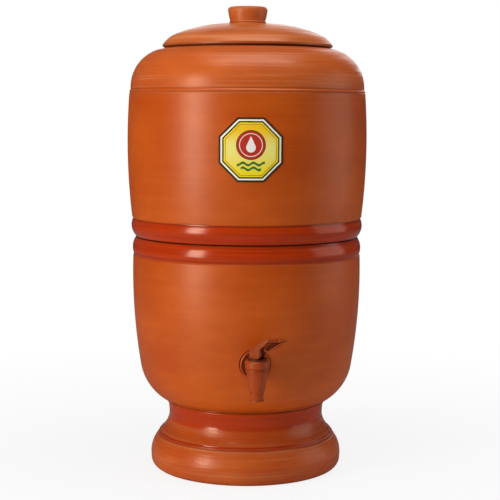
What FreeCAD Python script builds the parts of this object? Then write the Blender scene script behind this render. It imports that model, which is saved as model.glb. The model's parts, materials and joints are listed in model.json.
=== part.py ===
import FreeCAD, Part
import math
import os
import Sketcher

# A gravity water filter of fired clay. The upper chamber stands in the mouth of
# the lower one and holds two filter candles; a plastic lever tap draws the clean
# water from the lower chamber. The origin is on the pot's axis at the ground,
# +Z up, and the tap looks along -Y. Millimetres and degrees.

SIZES = {
    # pedestal foot of the lower chamber, from the ground up
    "ground_radius": 99.5,
    "foot_bead_radius": 107.9,
    "foot_bead_height": 12.0,
    "foot_ledge_radius": 100.6,
    "foot_ledge_height": 37.2,
    "foot_bulge": 2.7,
    "foot_wall": 9.3,
    "neck_radius": 87.3,
    "neck_height": 60.5,
    "neck_hollow": 2.1,
    "neck_top_radius": 88.8,
    "neck_top_height": 75.4,
    "neck_flare": 0.4,
    "foot_ceiling_height": 77.0,
    # lower chamber
    "clay_wall": 8.0,
    "lower_floor": 10.0,
    "bowl_radius": 92.0,
    "bowl_bulge": 5.6,
    "turn_setback": 8.6,
    "turn_height": 118.5,
    "lower_radius": 128.5,
    "lower_barrel_drop": 35.7,
    "lower_bulge": 2.4,
    "lower_ring_drop": 21.1,
    "lower_groove_depth": 1.2,
    "lower_bead_bulge": 2.3,
    "rim_setback": 3.1,
    "seam_height": 263.7,
    "rim_wall": 8.6,
    "mouth_depth": 16.0,
    # upper chamber, heights above the seam
    "spigot_gap": 1.5,
    "spigot_depth": 6.2,
    "upper_floor": 10.0,
    "upper_bead_swell": 2.7,
    "upper_bead_height": 20.8,
    "upper_bead_bulge": 3.2,
    "barrel_foot_swell": 4.0,
    "barrel_top_swell": 6.8,
    "barrel_top_height": 160.0,
    "barrel_bulge": 3.3,
    "shoulder_lines": 5.8,
    "shoulder_bulge": 10.1,
    "floor_fillet": 3.0,
    "lip_radius": 95.5,
    "upper_height": 209.8,
    "lip_width": 11.5,
    # lid, heights above its seat
    "lid_setback": 0.5,
    "lid_edge_height": 3.2,
    "lid_edge_width": 13.5,
    "lid_crown_height": 15.0,
    "lid_edge_bulge": 1.15,
    "lid_crown_bulge": 3.0,
    "lid_ring_gap": 2.0,
    "lid_ring_wall": 6.0,
    "lid_ring_depth": 10.0,
    "lid_top_height": 27.5,
    "knob_neck_radius": 19.5,
    "knob_radius": 22.0,
    "knob_brow": 4.0,
    "lid_height": 46.5,
    # turned lines and the small radii left by the potter's sponge
    "line_depth": 0.5,
    "line_width": 1.4,
    "line_pitch": 3.8,
    "sponge_radius": 0.8,
    "pole_radius": 0.5,
    # octagonal label on the barrel
    "label_width": 66.7,
    "label_height": 100.5,
    "label_turn": 2.8,
    "label_thickness": 0.4,
    "label_glue": 0.1,
    # filter candles, two of them
    "candle_offset": 46.0,
    "candle_radius": 28.0,
    "candle_wall": 7.0,
    "candle_height": 102.0,
    "carbon_headroom": 5.0,
    "pad_thickness": 3.0,
    "fit_gap": 0.3,
    "cup_wall": 2.2,
    "cup_floor": 4.0,
    "cup_depth": 10.0,
    "stem_radius": 6.0,
    "nut_room": 3.0,
    "stem_bore": 2.5,
    "stem_proud": 1.0,
    "floor_hole_gap": 2.0,
    "washer_radius": 13.0,
    "washer_thickness": 2.5,
    "thread_gap": 0.15,
    "thread_depth": 0.7,
    "thread_pitch": 2.0,
    "wing_height": 12.0,
    "wing_boss_wall": 4.35,
    "wing_span": 21.0,
    "wing_thickness": 4.0,
    # float valve under each candle
    "cage_radius": 17.0,
    "cage_wall": 2.0,
    "float_rise": 6.2,
    "cage_plate": 3.0,
    "cage_collar_wall": 3.85,
    "cage_collar_height": 10.0,
    "cage_window_width": 9.0,
    "cage_window_head": 7.0,
    "cage_drain_radius": 8.0,
    "float_gap": 2.0,
    "float_height": 18.0,
    "float_seal_radius": 7.0,
    "float_seal_thickness": 2.5,
    # tap: where it stands, its rosette and the shank through the wall
    "tap_reach": 26.9,
    "shank_height": 137.5,
    "spot_face_margin": 1.0,
    "spot_face_depth": 1.3,
    "tap_boss": 0.5,
    "inner_face_margin": 1.5,
    "tap_hole_gap": 1.0,
    "tap_gasket": 2.0,
    "gasket_setback": 1.5,
    "rosette_radius": 16.0,
    "rosette_thickness": 3.5,
    "shank_radius": 8.0,
    "shank_tail": 7.4,
    "shank_bore": 3.6,
    "tap_nut_height": 9.0,
    "tap_nut_flats": 25.0,
    "tap_nut_skirt": 2.0,
    # tap barrel, heights from the shank's axis
    "barrel_radius": 11.4,
    "barrel_shoulder": 0.6,
    "collar_step": 1.05,
    "collar_rise": 0.3,
    "barrel_taper_radius": 8.8,
    "barrel_taper_drop": 21.5,
    "spout_radius": 6.75,
    "spout_shoulder": 4.0,
    "spout_length": 8.5,
    "spout_bore": 4.2,
    "valve_bore": 7.6,
    "plug_sill": 1.2,
    "plug_land": 2.0,
    "seat_drop": 12.0,
    "seat_lip": 1.2,
    # bonnet, stem, spring and seal
    "bonnet_setback": 0.75,
    "bonnet_flange": 1.2,
    "spring_land": 1.0,
    "bonnet_guide_drop": 1.2,
    "moulded_edge": 0.7,
    "cam_washer_radius": 10.0,
    "cam_washer_height": 1.9,
    "tap_stem_radius": 2.4,
    "slide_gap": 0.1,
    "seal_gap": 1.0,
    "seal_thickness": 3.5,
    "stem_collar_margin": 1.6,
    "stem_collar_height": 1.5,
    "stem_nub_radius": 1.8,
    "stem_nub_length": 2.0,
    "stem_crown": 2.6,
    "spring_wire": 0.45,
    "spring_radius": 3.9,
    "spring_turns": 5.5,
    # lever, measured from its pin: along the lever, across it, and up
    "lever_turn": -45.0,
    "lever_pin_radius": 1.2,
    "hinge_gap": 0.05,
    "cam_height": 5.0,
    "cam_reach": 3.5,
    "heel_reach": 5.1,
    "heel_height": 5.7,
    "heel_wall": 1.2,
    "cheek_wall": 4.0,
    "slot_gap": 0.5,
    "slot_roof": 2.4,
    "cheek_height": 5.6,
    "brow_reach": 16.8,
    "brow_height": 12.1,
    "paddle_start": 20.0,
    "paddle_reach": 38.0,
    "paddle_height": 17.5,
    "paddle_rise": 1.0,
    "paddle_thickness": 2.0,
    "paddle_width": 12.0,
    "paddle_corner": 4.5,
    "web_width": 3.2,
    "web_reach": 16.0,
    "web_height": 3.2,
}

FULL_TURN = 360.0
HALF = 0.5
CORNER_ARC = 1.0 - math.sqrt(HALF)
HEXAGON = 6
OCTAGON = 8
ORIGIN_POINT = (-1, 1)
SMALL = 1e-6
LABEL_SWEEP = 60.0
CREST_SHARE = 0.1
THROUGH = 3.0

doc = FreeCAD.newDocument("clay_water_pot")
sheet = doc.addObject("Spreadsheet::Sheet", "Sizes")
for row, (alias, length) in enumerate(SIZES.items(), start=1):
    sheet.set("A%d" % row, alias.replace("_", " "))
    sheet.set("B%d" % row, str(length))
    sheet.setAlias("B%d" % row, alias)
doc.recompute()


class Size:
    """A number together with the sheet expression that gives it."""

    def __init__(self, value, text):
        self.value = value
        self.text = text

    def __add__(self, other):
        other = as_size(other)
        return Size(self.value + other.value, "(%s + %s)" % (self.text, other.text))

    def __sub__(self, other):
        other = as_size(other)
        return Size(self.value - other.value, "(%s - %s)" % (self.text, other.text))

    def __mul__(self, other):
        other = as_size(other)
        return Size(self.value * other.value, "(%s * %s)" % (self.text, other.text))

    def __truediv__(self, other):
        other = as_size(other)
        return Size(self.value / other.value, "(%s / %s)" % (self.text, other.text))

    def __neg__(self):
        return Size(-self.value, "(-1 * %s)" % self.text)


class Sheet:
    """Gives each cell of the size sheet by its alias, as a Size."""

    def __getattr__(self, alias):
        return Size(SIZES[alias], "Sizes." + alias)


def as_size(number):
    if isinstance(number, Size):
        return number
    return Size(float(number), repr(float(number)))


at = Sheet()
ZERO = as_size(0.0)
made = []


# ---- sketching and feature helpers

def new_body(label, x=ZERO, y=ZERO, z=ZERO, turn=ZERO):
    """A body that stands at x, y, z and is turned about the vertical."""
    body = doc.addObject("PartDesign::Body", label)
    body.Label = label
    spin = FreeCAD.Rotation(FreeCAD.Vector(0, 0, 1), turn.value)
    body.Placement = FreeCAD.Placement(FreeCAD.Vector(x.value, y.value, z.value), spin)
    for axis, place in (("x", x), ("y", y), ("z", z)):
        body.setExpression(".Placement.Base." + axis, place.text)
    if turn.value:
        body.setExpression(".Placement.Rotation.Angle", turn.text)
    made.append(body)
    return body


def new_sketch(body, role, lift=ZERO):
    """A sketch on one of the body's own planes, lifted off it along its normal."""
    sketch = body.newObject("Sketcher::SketchObject", body.Label + "_sketch")
    plane = [datum for datum in body.Origin.OriginFeatures if datum.Role == role][0]
    sketch.AttachmentSupport = [(plane, "")]
    sketch.MapMode = "FlatFace"
    if lift.value:
        sketch.AttachmentOffset = FreeCAD.Placement(
            FreeCAD.Vector(0, 0, lift.value), FreeCAD.Rotation())
        sketch.setExpression(".AttachmentOffset.Base.z", lift.text)
    return sketch


def tie(sketch, kind, *handles, size=None):
    """One constraint, driven by the sheet where it has a size."""
    if size is None:
        return sketch.addConstraint(Sketcher.Constraint(kind, *handles))
    index = sketch.addConstraint(Sketcher.Constraint(kind, *handles, size.value))
    sketch.setExpression("Constraints[%d]" % index, size.text)
    return index


def place_point(sketch, handle, point):
    """Holds a point of the sketch at its place from the origin."""
    across, up = point
    if across is ZERO:
        tie(sketch, "PointOnObject", *handle, -2)
    else:
        tie(sketch, "DistanceX", *ORIGIN_POINT, *handle, size=across)
    if up is ZERO:
        tie(sketch, "PointOnObject", *handle, -1)
    else:
        tie(sketch, "DistanceY", *ORIGIN_POINT, *handle, size=up)


def flat(point):
    return FreeCAD.Vector(point[0].value, point[1].value, 0)


def draw(sketch, outline):
    """Draws a closed outline of corners (across, up) or (across, up, bulge).

    A bulge makes the run up to its corner an arc, which stands that far off its
    chord, to the left of the way the outline runs, or to the right if negative.
    """
    corners = [[as_size(number) if number is not ZERO else ZERO for number in corner]
               for corner in outline]
    handles = []
    for index, corner in enumerate(corners):
        start, end = corners[index - 1], corner
        a, b = flat(start), flat(end)
        if len(end) == 2:
            line = sketch.addGeometry(Part.LineSegment(a, b))
            handles.append(((line, 1), (line, 2)))
            continue
        bulge = end[2]
        chord = b - a
        left = FreeCAD.Vector(-chord.y, chord.x, 0).normalize()
        crest = (a + b) * HALF + left * bulge.value
        if bulge.value > 0:
            arc = sketch.addGeometry(Part.Arc(b, crest, a))
            handles.append(((arc, 2), (arc, 1)))
        else:
            arc = sketch.addGeometry(Part.Arc(a, crest, b))
            handles.append(((arc, 1), (arc, 2)))
        run = end[0] - start[0]
        rise = end[1] - start[1]
        stand = bulge if bulge.value > 0 else -bulge
        half_chord_squared = (run * run + rise * rise) * HALF * HALF
        tie(sketch, "Radius", arc, size=(half_chord_squared + stand * stand) / stand * HALF)
    for index, corner in enumerate(corners):
        arriving = handles[index][1]
        leaving = handles[(index + 1) % len(corners)][0]
        tie(sketch, "Coincident", *arriving, *leaving)
        place_point(sketch, arriving, corner[:2])


def draw_circle(sketch, radius, across=ZERO, up=ZERO):
    centre = FreeCAD.Vector(across.value, up.value, 0)
    ring = sketch.addGeometry(Part.Circle(centre, FreeCAD.Vector(0, 0, 1), radius.value))
    place_point(sketch, (ring, 3), (across, up))
    tie(sketch, "Radius", ring, size=radius)


def add(body, kind, sketch, length=None, both=False, reverse=False, angle=FULL_TURN, axis="V_Axis"):
    """A feature from a sketch; a Pocket or Groove has to take clay away."""
    before = body.Shape.Volume if kind in ("Pocket", "Groove") else None
    feature = body.newObject("PartDesign::" + kind, body.Label + "_" + kind.lower())
    feature.Profile = sketch
    if kind in ("Revolution", "Groove"):
        feature.ReferenceAxis = (sketch, [axis])
        feature.Angle = angle
        feature.Midplane = angle < FULL_TURN
    else:
        feature.SideType = "Symmetric" if both else "One side"
        feature.Length = length.value
        feature.setExpression("Length", length.text)
        feature.Reversed = reverse
    doc.recompute()
    if before is not None and body.Shape.Volume > before - SMALL:
        raise RuntimeError(body.Label + ": the " + kind + " cut nothing")
    return feature


def turned(label, *outlines, **place):
    """A body turned about its own vertical axis from outlines of (radius, height)."""
    body = new_body(label, **place)
    sketch = new_sketch(body, "XZ_Plane")
    for outline in outlines:
        draw(sketch, outline)
    add(body, "Revolution", sketch)
    return body


def ridges(outer, depth, start, pitch, count, way):
    """The corners of a ridged flank that stands for a screw thread.

    It runs from start towards +height (way 1) or -height (way -1).
    """
    corners = []
    for turn in range(count):
        foot = start + pitch * float(way * turn)
        corners.append((outer - depth, foot))
        corners.append((outer, foot + pitch * (way * (HALF - CREST_SHARE))))
        corners.append((outer, foot + pitch * (way * (HALF + CREST_SHARE))))
    corners.append((outer - depth, start + pitch * float(way * count)))
    return corners


def polygon(across_flats, sides):
    """Corners of a regular polygon that has a flat side at the top and bottom."""
    corners = []
    reach = across_flats * (HALF / math.cos(math.pi / sides))
    for side in range(sides):
        turn = (2 * side + 1) * math.pi / sides + math.pi / 2
        corners.append((reach * math.cos(turn), reach * math.sin(turn)))
    return corners


# ---- fired clay

lower_floor_top = at.foot_ceiling_height + at.lower_floor
lower_barrel_top = at.seam_height - at.lower_barrel_drop
turn_radius = at.lower_radius - at.turn_setback
rim_radius = at.lower_radius - at.rim_setback
mouth_radius = rim_radius - at.rim_wall
upper_bead_radius = rim_radius + at.upper_bead_swell
barrel_foot_radius = rim_radius + at.barrel_foot_swell
barrel_top_radius = rim_radius + at.barrel_top_swell
filling_radius = at.lip_radius - at.lip_width
gasket_radius = at.rosette_radius - at.gasket_setback
shank_climb = (at.shank_height - at.turn_height) / (lower_barrel_top - at.turn_height)
wall_at_tap = turn_radius + (at.lower_radius - turn_radius) * shank_climb
spot_face = wall_at_tap - at.spot_face_depth
tap_wall = at.clay_wall + at.tap_boss


def lower_chamber():
    """Bowl and pedestal foot, thrown in one piece, with the hole for the tap.

    A level disc takes the place of the curved wall where the tap is clamped.
    """
    sponge = at.sponge_radius
    line = at.line_depth
    ledge = (at.foot_ledge_radius, at.foot_ledge_height)
    line_start = (ledge[0] - at.line_width, ledge[1] + at.line_width)
    line_end = (line_start[0] - at.line_depth, line_start[1] + at.line_width)
    second_start = (line_end[0] - at.line_depth * HALF, line_end[1] + at.line_depth)
    neck_foot = (second_start[0] - at.line_depth, second_start[1] + at.line_width)
    crease = at.neck_top_height + at.line_width
    inner_neck = at.neck_radius - at.foot_wall
    inner_turn = (turn_radius - at.clay_wall, at.turn_height + at.line_width)
    rim = at.seam_height
    ring_top = rim - at.lower_ring_drop
    body = turned("lower_chamber", [
        (at.ground_radius, ZERO),
        (at.foot_bead_radius, at.foot_bead_height, -at.foot_bulge),
        (*ledge, -at.foot_bulge),
        line_start,
        (*line_end, line),
        second_start,
        (*neck_foot, line),
        (at.neck_radius, at.neck_height, at.neck_hollow),
        (at.neck_top_radius, at.neck_top_height, at.neck_flare),
        (at.neck_top_radius - sponge, crease + sponge, -sponge * HALF),
        (at.bowl_radius, crease + sponge * 2.0),
        (turn_radius, at.turn_height, -at.bowl_bulge),
        (at.lower_radius, lower_barrel_top, -at.lower_bulge),
        (at.lower_radius - line * HALF, ring_top),
        (at.lower_radius - at.lower_groove_depth, ring_top + at.line_width, line),
        (rim_radius, rim - sponge, -at.lower_bead_bulge),
        (rim_radius - sponge, rim, -sponge * CORNER_ARC),
        (mouth_radius, rim),
        (mouth_radius, rim - at.mouth_depth),
        (at.lower_radius - at.clay_wall, lower_barrel_top, at.lower_bead_bulge),
        (*inner_turn, at.lower_bulge),
        (at.bowl_radius - at.clay_wall, lower_floor_top, at.bowl_bulge),
        (ZERO, lower_floor_top),
        (ZERO, at.foot_ceiling_height),
        (inner_neck - at.foot_wall, at.foot_ceiling_height),
        (inner_neck, at.foot_ceiling_height - at.foot_wall, at.foot_wall * CORNER_ARC),
        (inner_neck, at.neck_height),
        (at.foot_ledge_radius - at.foot_wall, at.foot_ledge_height, -at.neck_hollow),
        (at.foot_bead_radius - at.foot_wall, at.foot_bead_height, at.foot_bulge * HALF),
        (at.ground_radius - at.foot_wall, ZERO, at.foot_bulge * HALF),
    ])
    flat_radius = gasket_radius + at.inner_face_margin
    outside = new_sketch(body, "XZ_Plane", spot_face)
    draw_circle(outside, at.rosette_radius + at.spot_face_margin, up=at.shank_height)
    add(body, "Pocket", outside, at.rosette_radius, reverse=True)
    curved = new_sketch(body, "XZ_Plane", spot_face)
    draw_circle(curved, flat_radius - at.inner_face_margin * HALF, up=at.shank_height)
    add(body, "Pocket", curved, tap_wall * THROUGH)
    level = new_sketch(body, "XZ_Plane", spot_face)
    draw_circle(level, flat_radius, up=at.shank_height)
    add(body, "Pad", level, tap_wall, reverse=True)
    hole = new_sketch(body, "XZ_Plane", spot_face)
    draw_circle(hole, at.shank_radius + at.tap_hole_gap, up=at.shank_height)
    add(body, "Pocket", hole, tap_wall * THROUGH)


def upper_chamber():
    """Barrel-shaped chamber with a spigot under it and two candle holes in its floor."""
    sponge = at.sponge_radius
    line = at.line_depth
    spigot = mouth_radius - at.spigot_gap
    floor_top = at.upper_floor - at.spigot_depth
    inner_foot = barrel_foot_radius - at.clay_wall
    inner_top = barrel_top_radius - at.clay_wall
    groove_top = at.upper_bead_height + at.line_width
    second_line = at.barrel_top_height + at.line_pitch
    mouth_edge = filling_radius + at.sponge_radius
    shoulder = at.barrel_top_height + at.shoulder_lines
    mouth_foot = at.upper_height - at.clay_wall
    body = turned("upper_chamber", [
        (rim_radius - sponge, ZERO),
        (rim_radius, sponge, -sponge * CORNER_ARC),
        (upper_bead_radius, at.upper_bead_height, -at.upper_bead_bulge),
        (barrel_foot_radius, groove_top, line),
        (barrel_top_radius, at.barrel_top_height, -at.barrel_bulge),
        (barrel_top_radius, at.barrel_top_height + at.line_width, line),
        (barrel_top_radius - line, second_line),
        (barrel_top_radius - line, second_line + at.line_width, line),
        (barrel_top_radius - at.line_width, shoulder),
        (at.lip_radius, at.upper_height - sponge, -at.shoulder_bulge),
        (at.lip_radius - at.line_pitch, at.upper_height, -line * HALF),
        (mouth_edge, at.upper_height),
        (filling_radius, at.upper_height - sponge, -sponge * CORNER_ARC),
        (filling_radius, mouth_foot),
        (inner_top, at.barrel_top_height + at.line_pitch, at.shoulder_bulge),
        (inner_foot, at.upper_bead_height, at.barrel_bulge),
        (inner_foot - at.upper_floor, floor_top, at.floor_fillet),
        (ZERO, floor_top),
        (ZERO, -at.spigot_depth),
        (spigot - sponge, -at.spigot_depth),
        (spigot, sponge - at.spigot_depth),
        (spigot, ZERO),
    ], z=at.seam_height)
    holes = new_sketch(body, "XY_Plane", floor_top)
    for across in (at.candle_offset, -at.candle_offset):
        draw_circle(holes, at.stem_radius + at.floor_hole_gap, across=across)
    add(body, "Pocket", holes, at.upper_floor * THROUGH)


def lid():
    """Domed lid with its knob, and a ring under it that keeps it in the mouth."""
    sponge = at.sponge_radius
    lid_radius = at.lip_radius - at.lid_setback
    ring_outer = filling_radius - at.lid_ring_gap
    ring_inner = ring_outer - at.lid_ring_wall
    inner_crown = at.lid_crown_height - at.clay_wall * HALF
    inner_top = at.lid_top_height - at.clay_wall
    crown_rise = at.line_depth
    seat_edge = at.lip_radius - at.line_pitch - sponge
    turned("lid", [
        (ring_outer, ZERO),
        (seat_edge, ZERO),
        (seat_edge + sponge, at.line_width, sponge * CORNER_ARC),
        (lid_radius - at.line_depth, at.line_width),
        (lid_radius, at.line_width + at.line_depth),
        (lid_radius, at.lid_edge_height),
        (lid_radius - at.lid_edge_width, at.lid_crown_height, -at.lid_edge_bulge),
        (at.knob_neck_radius + at.line_width, at.lid_top_height, -at.lid_crown_bulge),
        (at.knob_neck_radius, at.lid_top_height + at.line_width * 2.0, at.line_depth),
        (at.knob_radius, at.lid_height - at.knob_brow),
        (at.knob_radius - at.line_pitch, at.lid_height - crown_rise, -at.line_width),
        (at.pole_radius, at.lid_height, -crown_rise * HALF),
        (ZERO, at.lid_height),
        (ZERO, inner_top),
        (at.pole_radius, inner_top),
        (ring_inner - at.lid_ring_wall, inner_crown, at.lid_crown_bulge),
        (ring_inner, at.line_pitch, at.lid_edge_bulge),
        (ring_inner, sponge - at.lid_ring_depth),
        (ring_inner + sponge, -at.lid_ring_depth, -sponge * CORNER_ARC),
        (ring_outer - sponge, -at.lid_ring_depth),
        (ring_outer, sponge - at.lid_ring_depth, -sponge * CORNER_ARC),
    ], z=at.seam_height + at.upper_height)


def label():
    """Octagonal paper label, bent to the barrel it is glued to."""
    foot = at.upper_bead_height + at.line_width
    inner = barrel_foot_radius + at.label_glue
    run = barrel_top_radius - barrel_foot_radius
    body = new_body("label", z=at.seam_height, turn=-at.label_turn)
    strip = new_sketch(body, "YZ_Plane")
    draw(strip, [
        (-inner, foot, -at.barrel_bulge),
        (-inner - at.label_thickness, foot),
        (-inner - run - at.label_thickness, at.barrel_top_height, at.barrel_bulge),
        (-inner - run, at.barrel_top_height),
    ])
    add(body, "Revolution", strip, angle=LABEL_SWEEP)
    waste = new_sketch(body, "XZ_Plane")
    margin = barrel_top_radius
    draw(waste, [
        (-margin, ZERO),
        (margin, ZERO),
        (margin, at.upper_height),
        (-margin, at.upper_height),
    ])
    draw(waste, [(across, at.label_height + up)
                 for across, up in polygon(at.label_width, OCTAGON)])
    add(body, "Pocket", waste, barrel_top_radius * THROUGH, reverse=True)


# ---- filter candles and their float valves, on an axis candle_offset from the pot's

def candle_ring(name, side, inner, outer, foot, thickness):
    """A washer or disc round a candle's axis."""
    return turned(name, [
        (inner, foot),
        (outer, foot),
        (outer, foot + thickness),
        (inner, foot + thickness),
    ], x=at.candle_offset * side, z=chamber_floor)


chamber_floor = at.seam_height + at.upper_floor - at.spigot_depth
cup_foot = at.washer_thickness
cup_inside = cup_foot + at.cup_floor
carbon_foot = cup_inside + at.pad_thickness
carbon_radius = at.candle_radius - at.candle_wall - at.fit_gap
candle_shoulder = at.candle_height - at.candle_radius
carbon_top = cup_inside + candle_shoulder - at.carbon_headroom
thread_hole = at.stem_radius + at.thread_gap
nut_top = -at.upper_floor - at.washer_thickness
nut_foot = nut_top - at.wing_height
cage_top = nut_foot - at.nut_room - at.cage_collar_height
cage_roof = cage_top - at.cage_plate
stem_end = cage_roof - at.stem_proud
float_top = stem_end - at.float_rise - at.float_seal_thickness
float_foot = float_top - at.float_height
cage_floor = float_foot - at.fit_gap
cage_foot = cage_floor - at.cage_plate


def candle(name, side):
    """One filter candle: porous dome on a plastic cup, clamped through the floor."""
    place = {"x": at.candle_offset * side, "z": chamber_floor}
    inner = at.candle_radius - at.candle_wall
    turned(name + "_dome", [
        (at.candle_radius, cup_inside),
        (at.candle_radius, cup_inside + candle_shoulder),
        (at.pole_radius, cup_inside + at.candle_height, -at.candle_radius * CORNER_ARC),
        (ZERO, cup_inside + at.candle_height),
        (ZERO, cup_inside + at.candle_height - at.candle_wall),
        (at.pole_radius, cup_inside + at.candle_height - at.candle_wall),
        (inner, cup_inside + candle_shoulder, inner * CORNER_ARC),
        (inner, cup_inside),
    ], **place)
    turned(name + "_carbon", [
        (carbon_radius, carbon_foot),
        (carbon_radius, carbon_top),
        (ZERO, carbon_top),
        (ZERO, carbon_foot),
    ], **place)
    candle_pad = [(carbon_radius, cup_inside), (carbon_radius, carbon_foot),
                  (ZERO, carbon_foot), (ZERO, cup_inside)]
    turned(name + "_pad", candle_pad, **place)
    rim = at.candle_radius + at.fit_gap + at.cup_wall
    thread_turns = int((nut_top.value - stem_end.value) / at.thread_pitch.value) + 1
    thread = ridges(at.stem_radius, at.thread_depth, stem_end, at.thread_pitch, thread_turns, 1)
    turned(name + "_base", [
        *thread,
        (at.stem_radius - at.thread_depth, cup_foot),
        (rim - at.cup_wall, cup_foot),
        (rim, cup_foot + at.cup_wall, -at.cup_wall * CORNER_ARC),
        (rim, cup_foot + at.cup_depth + at.cup_floor),
        (rim - at.cup_wall, cup_foot + at.cup_depth + at.cup_floor),
        (rim - at.cup_wall, cup_inside),
        (at.stem_bore, cup_inside),
        (at.stem_bore, stem_end),
    ], **place)
    candle_ring(name + "_top_washer", side, thread_hole, at.washer_radius, ZERO, at.washer_thickness)
    candle_ring(name + "_bottom_washer", side, thread_hole, at.washer_radius,
                nut_top, at.washer_thickness)
    wing_nut(name + "_wing_nut", place)


def wing_nut(name, place):
    """Plastic nut with two wings, turned by hand under the floor."""
    body = new_body(name, **place)
    wings = new_sketch(body, "XZ_Plane")
    corner = at.wing_thickness
    boss_radius = thread_hole + at.wing_boss_wall
    draw(wings, [
        (-at.wing_span, nut_foot + corner),
        (corner - at.wing_span, nut_foot, -corner * CORNER_ARC),
        (at.wing_span - corner, nut_foot),
        (at.wing_span, nut_foot + corner, -corner * CORNER_ARC),
        (at.wing_span, nut_top - corner),
        (boss_radius, nut_top - corner * HALF, -corner * CORNER_ARC),
        (-boss_radius, nut_top - corner * HALF),
        (-at.wing_span, nut_top - corner, -corner * CORNER_ARC),
    ])
    add(body, "Pad", wings, at.wing_thickness, both=True)
    boss = new_sketch(body, "XY_Plane", nut_top)
    draw_circle(boss, boss_radius)
    add(body, "Pad", boss, at.wing_height, reverse=True)
    hole = new_sketch(body, "XY_Plane", nut_top)
    draw_circle(hole, thread_hole)
    add(body, "Pocket", hole, at.wing_height)


def float_valve(name, side):
    """Caged float that shuts the candle's stem when the lower chamber is full."""
    place = {"x": at.candle_offset * side, "z": chamber_floor}
    inner = at.cage_radius - at.cage_wall
    collar_radius = thread_hole + at.cage_collar_wall
    cage = turned(name + "_cage", [
        (at.cage_drain_radius, cage_foot),
        (at.cage_radius, cage_foot),
        (at.cage_radius, cage_top),
        (collar_radius, cage_top),
        (collar_radius, cage_top + at.cage_collar_height),
        (thread_hole, cage_top + at.cage_collar_height),
        (thread_hole, cage_roof),
        (inner, cage_roof),
        (inner, cage_floor),
        (at.cage_drain_radius, cage_floor),
    ], **place)
    half = at.cage_window_width * HALF
    sill = cage_floor + at.cage_plate
    head = cage_roof - at.cage_window_head
    for role in ("XZ_Plane", "YZ_Plane"):
        windows = new_sketch(cage, role)
        draw(windows, [
            (-half, sill),
            (half, sill),
            (half, head),
            (-half, head),
        ])
        add(cage, "Pocket", windows, at.cage_radius * THROUGH, both=True)
    edge = at.cage_wall
    radius = inner - at.float_gap
    turned(name + "_float", [
        (ZERO, float_foot),
        (radius - edge, float_foot),
        (radius, float_foot + edge, -edge * CORNER_ARC),
        (radius, float_top - edge),
        (radius - edge, float_top, -edge * CORNER_ARC),
        (ZERO, float_top),
    ], **place)
    candle_ring(name + "_seal", side, ZERO, at.float_seal_radius,
                float_top, at.float_seal_thickness)


# ---- tap: the rosette, shank and wall fixings lie along Y, the barrel stands upright

tap_offset = spot_face + at.tap_reach
tap_place = {"y": -tap_offset, "z": at.shank_height}
wall_face = at.tap_reach
rosette_face = wall_face - at.tap_gasket
wall_back = wall_face + tap_wall
nut_face = wall_back + at.tap_gasket
shank_end = nut_face + at.tap_nut_height + at.shank_tail
collar_radius = at.barrel_radius + at.collar_step
collar_top = at.shank_radius + at.collar_rise
plug_foot = at.shank_bore + at.plug_sill
plug_radius = at.valve_bore + at.plug_land
bonnet_top = collar_top + at.bonnet_flange
cam_top = bonnet_top + at.cam_washer_height
pin_height = cam_top + at.slide_gap + at.cam_height
head_width = (at.tap_stem_radius + at.slot_gap + at.cheek_wall) * 2.0


def along_shank(name, outline, kind="Revolution", body=None):
    """Turns an outline of (distance from the barrel, radius) about the shank's axis."""
    if body is None:
        body = new_body(name, **tap_place)
    sketch = new_sketch(body, "YZ_Plane")
    draw(sketch, outline)
    add(body, kind, sketch, axis="H_Axis")
    return body


def tap_body():
    """Barrel with its spout, rosette and threaded shank, moulded in one piece."""
    edge = at.collar_step
    spout_shoulder = -at.barrel_taper_drop - at.spout_shoulder
    spout_end = spout_shoulder - at.spout_length
    socket = plug_radius + at.thread_gap
    socket_foot = plug_foot - at.slide_gap
    lip = at.seat_lip
    seat = -at.seat_drop
    body = turned("tap_body", [
        (ZERO, spout_end),
        (at.spout_radius, spout_end),
        (at.spout_radius, spout_shoulder),
        (at.barrel_taper_radius, -at.barrel_taper_drop),
        (at.barrel_radius, at.barrel_shoulder),
        (collar_radius, at.barrel_shoulder + edge),
        (collar_radius, collar_top - edge * HALF),
        (collar_radius - edge * HALF, collar_top),
        (ZERO, collar_top),
    ], **tap_place)
    turns = int((shank_end.value - rosette_face.value) / at.thread_pitch.value)
    thread = ridges(at.shank_radius, at.thread_depth, shank_end, at.thread_pitch, turns, -1)
    thread_run = [(along, radius) for radius, along in thread if along.value > rosette_face.value]
    rounding = at.rosette_thickness * HALF
    along_shank("tap_body", [
        (ZERO, ZERO),
        (shank_end, ZERO),
        *thread_run,
        (rosette_face, at.shank_radius - at.thread_depth),
        (rosette_face, at.rosette_radius),
        (rosette_face - rounding, at.rosette_radius),
        (rosette_face - at.rosette_thickness, at.rosette_radius - rounding,
         -rounding * CORNER_ARC),
        (rosette_face - at.rosette_thickness, at.shank_radius),
        (ZERO, at.shank_radius),
    ], body=body)
    bore = new_sketch(body, "XZ_Plane")
    draw(bore, [
        (ZERO, spout_end),
        (at.spout_bore, spout_end),
        (at.spout_bore, seat),
        (at.spout_bore + lip, seat),
        (at.spout_bore + lip, seat - lip),
        (at.valve_bore, seat - lip),
        (at.valve_bore, socket_foot),
        (socket, socket_foot),
        (socket, collar_top),
        (ZERO, collar_top),
    ])
    add(body, "Groove", bore)
    along_shank("tap_body", [
        (ZERO, ZERO),
        (shank_end, ZERO),
        (shank_end, at.shank_bore),
        (ZERO, at.shank_bore),
    ], kind="Groove", body=body)


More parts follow.
